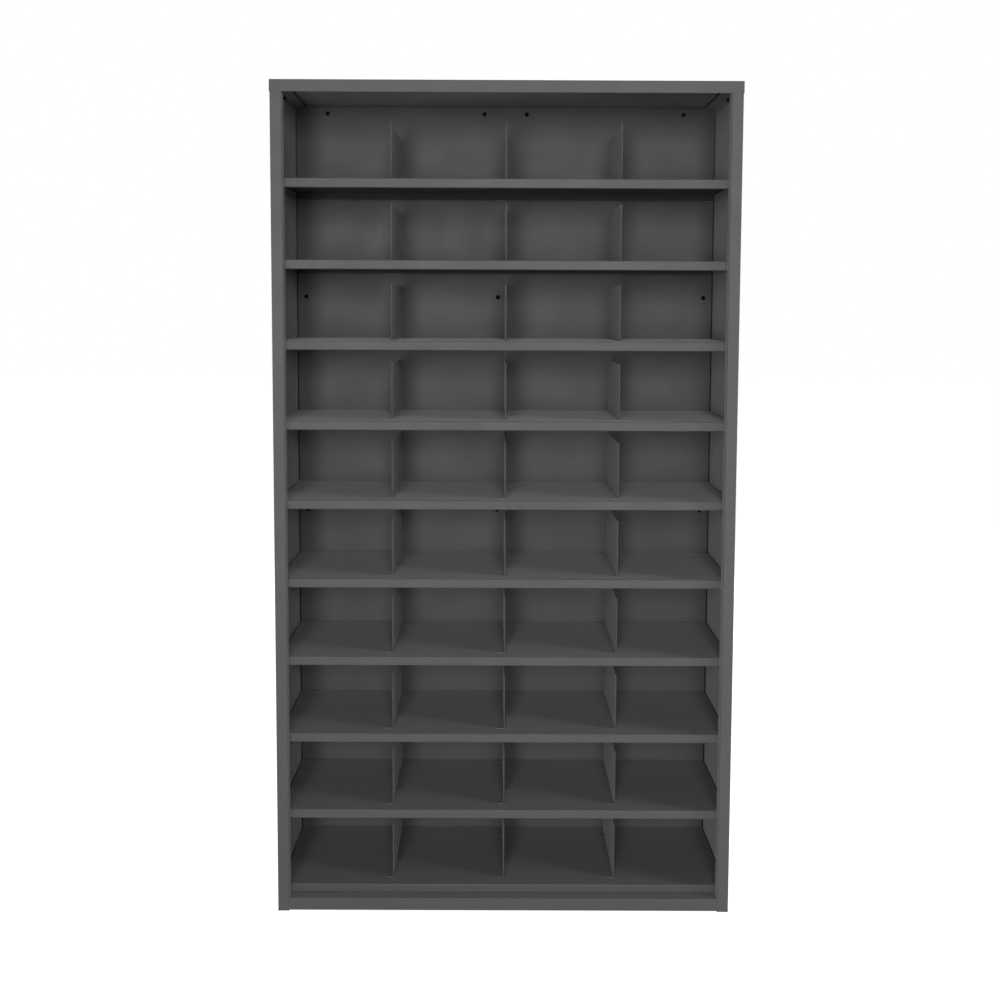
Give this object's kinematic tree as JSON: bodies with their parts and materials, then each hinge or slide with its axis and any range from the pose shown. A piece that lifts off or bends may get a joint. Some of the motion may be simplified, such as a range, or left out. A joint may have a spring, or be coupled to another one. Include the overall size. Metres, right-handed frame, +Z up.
{
  "type": "pigeonhole mail sorter",
  "caption": "Tall open-fronted sheet-steel cabinet of folded shelves and upright dividers that form pigeonholes for sorting mail and documents.",
  "frame": {"origin": "centre of the bounding box at floor level", "axes": "+X to the right seen from the front, the open front faces -Y, +Z up"},
  "size_m": [1.0044, 0.4622, 1.8055],
  "materials": {
    "graphite_coat": "satin graphite powder coat on folded sheet steel",
    "black_fasteners": "matt black coated M4 steel bolts and flange nuts"
  },
  "bodies": {
    "root": {"top_cap": "graphite_coat", "side_panel_left": "graphite_coat", "side_panel_right": "graphite_coat", "top_angle_left": "graphite_coat", "top_angle_right": "graphite_coat", "bottom_angle_left": "graphite_coat", "bottom_angle_right": "graphite_coat", "back_panel_left": "graphite_coat", "back_panel_right": "graphite_coat", "base_rail_front": "graphite_coat", "base_shelf": "graphite_coat", "shelf_1": "graphite_coat", "shelf_2": "graphite_coat", "shelf_3": "graphite_coat", "shelf_4": "graphite_coat", "shelf_5": "graphite_coat", "shelf_6": "graphite_coat", "shelf_7": "graphite_coat", "shelf_8": "graphite_coat", "shelf_9": "graphite_coat", "divider_1_1": "graphite_coat", "divider_1_2": "graphite_coat", "divider_1_3": "graphite_coat", "divider_2_1": "graphite_coat", "divider_2_2": "graphite_coat", "divider_2_3": "graphite_coat", "divider_3_1": "graphite_coat", "divider_3_2": "graphite_coat", "divider_3_3": "graphite_coat", "divider_4_1": "graphite_coat", "divider_4_2": "graphite_coat", "divider_4_3": "graphite_coat", "divider_5_1": "graphite_coat", "divider_5_2": "graphite_coat", "divider_5_3": "graphite_coat", "divider_6_1": "graphite_coat", "divider_6_2": "graphite_coat", "divider_6_3": "graphite_coat", "divider_7_1": "graphite_coat", "divider_7_2": "graphite_coat", "divider_7_3": "graphite_coat", "divider_8_1": "graphite_coat", "divider_8_2": "graphite_coat", "divider_8_3": "graphite_coat", "divider_9_1": "graphite_coat", "divider_9_2": "graphite_coat", "divider_9_3": "graphite_coat", "divider_10_1": "graphite_coat", "divider_10_2": "graphite_coat", "divider_10_3": "graphite_coat", "rear_clips": "graphite_coat", "front_clips": "graphite_coat", "cap_bolts": "black_fasteners", "cap_nuts": "black_fasteners", "seam_bolts": "black_fasteners", "seam_nuts": "black_fasteners"}
  },
  "joints": []
}
